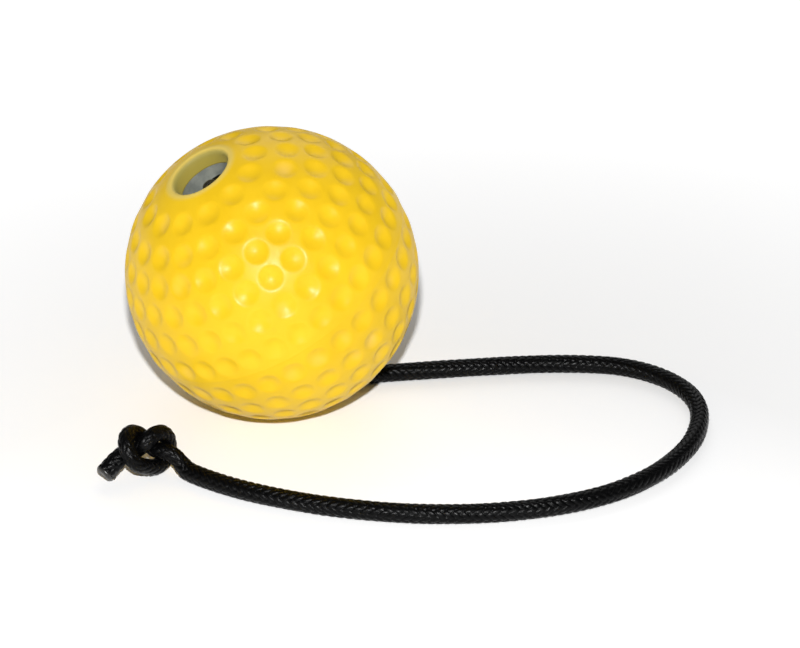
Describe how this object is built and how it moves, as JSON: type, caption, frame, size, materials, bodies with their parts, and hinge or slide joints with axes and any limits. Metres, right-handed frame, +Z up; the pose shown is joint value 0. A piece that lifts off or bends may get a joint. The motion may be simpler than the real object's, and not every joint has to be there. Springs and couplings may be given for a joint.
{
  "type": "dimpled ball on cord",
  "caption": "Dimpled rubber ball with a recessed bore, spinning on a thin braided cord that is held by a stopper knot and ends in a second knot.",
  "frame": {"origin": "point of the ground directly under the ball's centre, where the ball touches it", "axes": "+Z up; +X the way the cord's first run leads, to the right of the viewer; +Y to its left, away from the viewer"},
  "size_m": [0.1498, 0.0974, 0.073],
  "materials": {
    "cover_rubber": "satin, dimpled",
    "core_rubber": "matt",
    "cord_sheath": "braided",
    "cord_core": "bundled strands",
    "melted_end": "melted"
  },
  "bodies": {
    "bore_length": {"bore_sheath": "cord_sheath", "bore_core": "cord_core", "inner_knot_sheath": "cord_sheath", "inner_knot_core": "cord_core", "inner_tip": "melted_end"},
    "ball": {"ball_cover": "cover_rubber", "ball_core": "core_rubber"},
    "exit_bend": {"exit_sheath": "cord_sheath", "exit_core": "cord_core"},
    "run_01": {"sheath_01": "cord_sheath", "core_01": "cord_core"},
    "run_02": {"sheath_02": "cord_sheath", "core_02": "cord_core"},
    "run_03": {"sheath_03": "cord_sheath", "core_03": "cord_core"},
    "run_04": {"sheath_04": "cord_sheath", "core_04": "cord_core"},
    "run_05": {"sheath_05": "cord_sheath", "core_05": "cord_core"},
    "run_06": {"sheath_06": "cord_sheath", "core_06": "cord_core"},
    "run_07": {"sheath_07": "cord_sheath", "core_07": "cord_core"},
    "run_08": {"sheath_08": "cord_sheath", "core_08": "cord_core"},
    "run_09": {"sheath_09": "cord_sheath", "core_09": "cord_core"},
    "run_10": {"sheath_10": "cord_sheath", "core_10": "cord_core"},
    "run_11": {"sheath_11": "cord_sheath", "core_11": "cord_core"},
    "run_12": {"sheath_12": "cord_sheath", "core_12": "cord_core"},
    "run_13": {"sheath_13": "cord_sheath", "core_13": "cord_core"},
    "end_knot": {"end_knot_sheath": "cord_sheath", "end_knot_core": "cord_core"},
    "tail": {"tail_sheath": "cord_sheath", "tail_core": "cord_core", "tail_tip": "melted_end"}
  },
  "joints": [
    {"name": "ball_spin", "type": "hinge", "parent": "bore_length", "child": "ball", "pos_m": [0, 0, 0.0365], "axis": [-0.465, -0.19, 0.8647], "continuous": true},
    {"name": "exit_swing", "type": "hinge", "parent": "bore_length", "child": "exit_bend", "pos_m": [0.01697, 0.00694, 0.00494], "axis": [0, 0, 1], "range_deg": [-45, 45]},
    {"name": "bend_01", "type": "hinge", "parent": "exit_bend", "child": "run_01", "pos_m": [0.02686, 0.01022, 0.00237], "axis": [0, 0, -1], "range_deg": [-60, 60]},
    {"name": "bend_02", "type": "hinge", "parent": "run_01", "child": "run_02", "pos_m": [0.04587, 0.01295, 0.00237], "axis": [0, 0, -1], "range_deg": [-60, 60]},
    {"name": "bend_03", "type": "hinge", "parent": "run_02", "child": "run_03", "pos_m": [0.06495, 0.01511, 0.00237], "axis": [0, 0, 1], "range_deg": [-35, 60]},
    {"name": "bend_04", "type": "hinge", "parent": "run_03", "child": "run_04", "pos_m": [0.08411, 0.01497, 0.00237], "axis": [0, 0, -1], "range_deg": [-60, 20]},
    {"name": "bend_05", "type": "hinge", "parent": "run_04", "child": "run_05", "pos_m": [0.10096, 0.00662, 0.00237], "axis": [0, 0, 1], "range_deg": [-15, 60]},
    {"name": "bend_06", "type": "hinge", "parent": "run_05", "child": "run_06", "pos_m": [0.10713, -0.01097, 0.00237], "axis": [0, 0, 1], "range_deg": [-5, 60]},
    {"name": "bend_07", "type": "hinge", "parent": "run_06", "child": "run_07", "pos_m": [0.10153, -0.02919, 0.00237], "axis": [0, 0, -1], "range_deg": [-60, 5]},
    {"name": "lift_08", "type": "hinge", "parent": "run_07", "child": "run_08", "pos_m": [0.08934, -0.04388, 0.00237], "axis": [0.557, -0.6631, -0.5], "range_deg": [-60, 0]},
    {"name": "bend_09", "type": "hinge", "parent": "run_08", "child": "run_09", "pos_m": [0.07279, -0.05343, 0.00237], "axis": [0, 0, 1], "range_deg": [-5, 60]},
    {"name": "lift_10", "type": "hinge", "parent": "run_09", "child": "run_10", "pos_m": [0.05415, -0.05784, 0.00237], "axis": [-0.1015, 0.8601, 0.5], "range_deg": [0, 60]},
    {"name": "bend_11", "type": "hinge", "parent": "run_10", "child": "run_11", "pos_m": [0.03499, -0.05829, 0.00237], "axis": [0, 0, 1], "range_deg": [-5, 60]},
    {"name": "lift_12", "type": "hinge", "parent": "run_11", "child": "run_12", "pos_m": [0.01605, -0.05529, 0.00237], "axis": [0.2076, 0.8408, 0.5], "range_deg": [0, 60]},
    {"name": "bend_13", "type": "hinge", "parent": "run_12", "child": "run_13", "pos_m": [-0.00215, -0.04923, 0.00237], "axis": [0, 0, -1], "range_deg": [-60, 20]},
    {"name": "knot_lift", "type": "hinge", "parent": "run_13", "child": "end_knot", "pos_m": [-0.01869, -0.03958, 0.00237], "axis": [0.528, 0.6864, 0.5], "range_deg": [0, 60]},
    {"name": "tail_swing", "type": "hinge", "parent": "end_knot", "child": "tail", "pos_m": [-0.03588, -0.03822, 0.00572], "axis": [0, 0, -1], "range_deg": [-32, 45]}
  ]
}
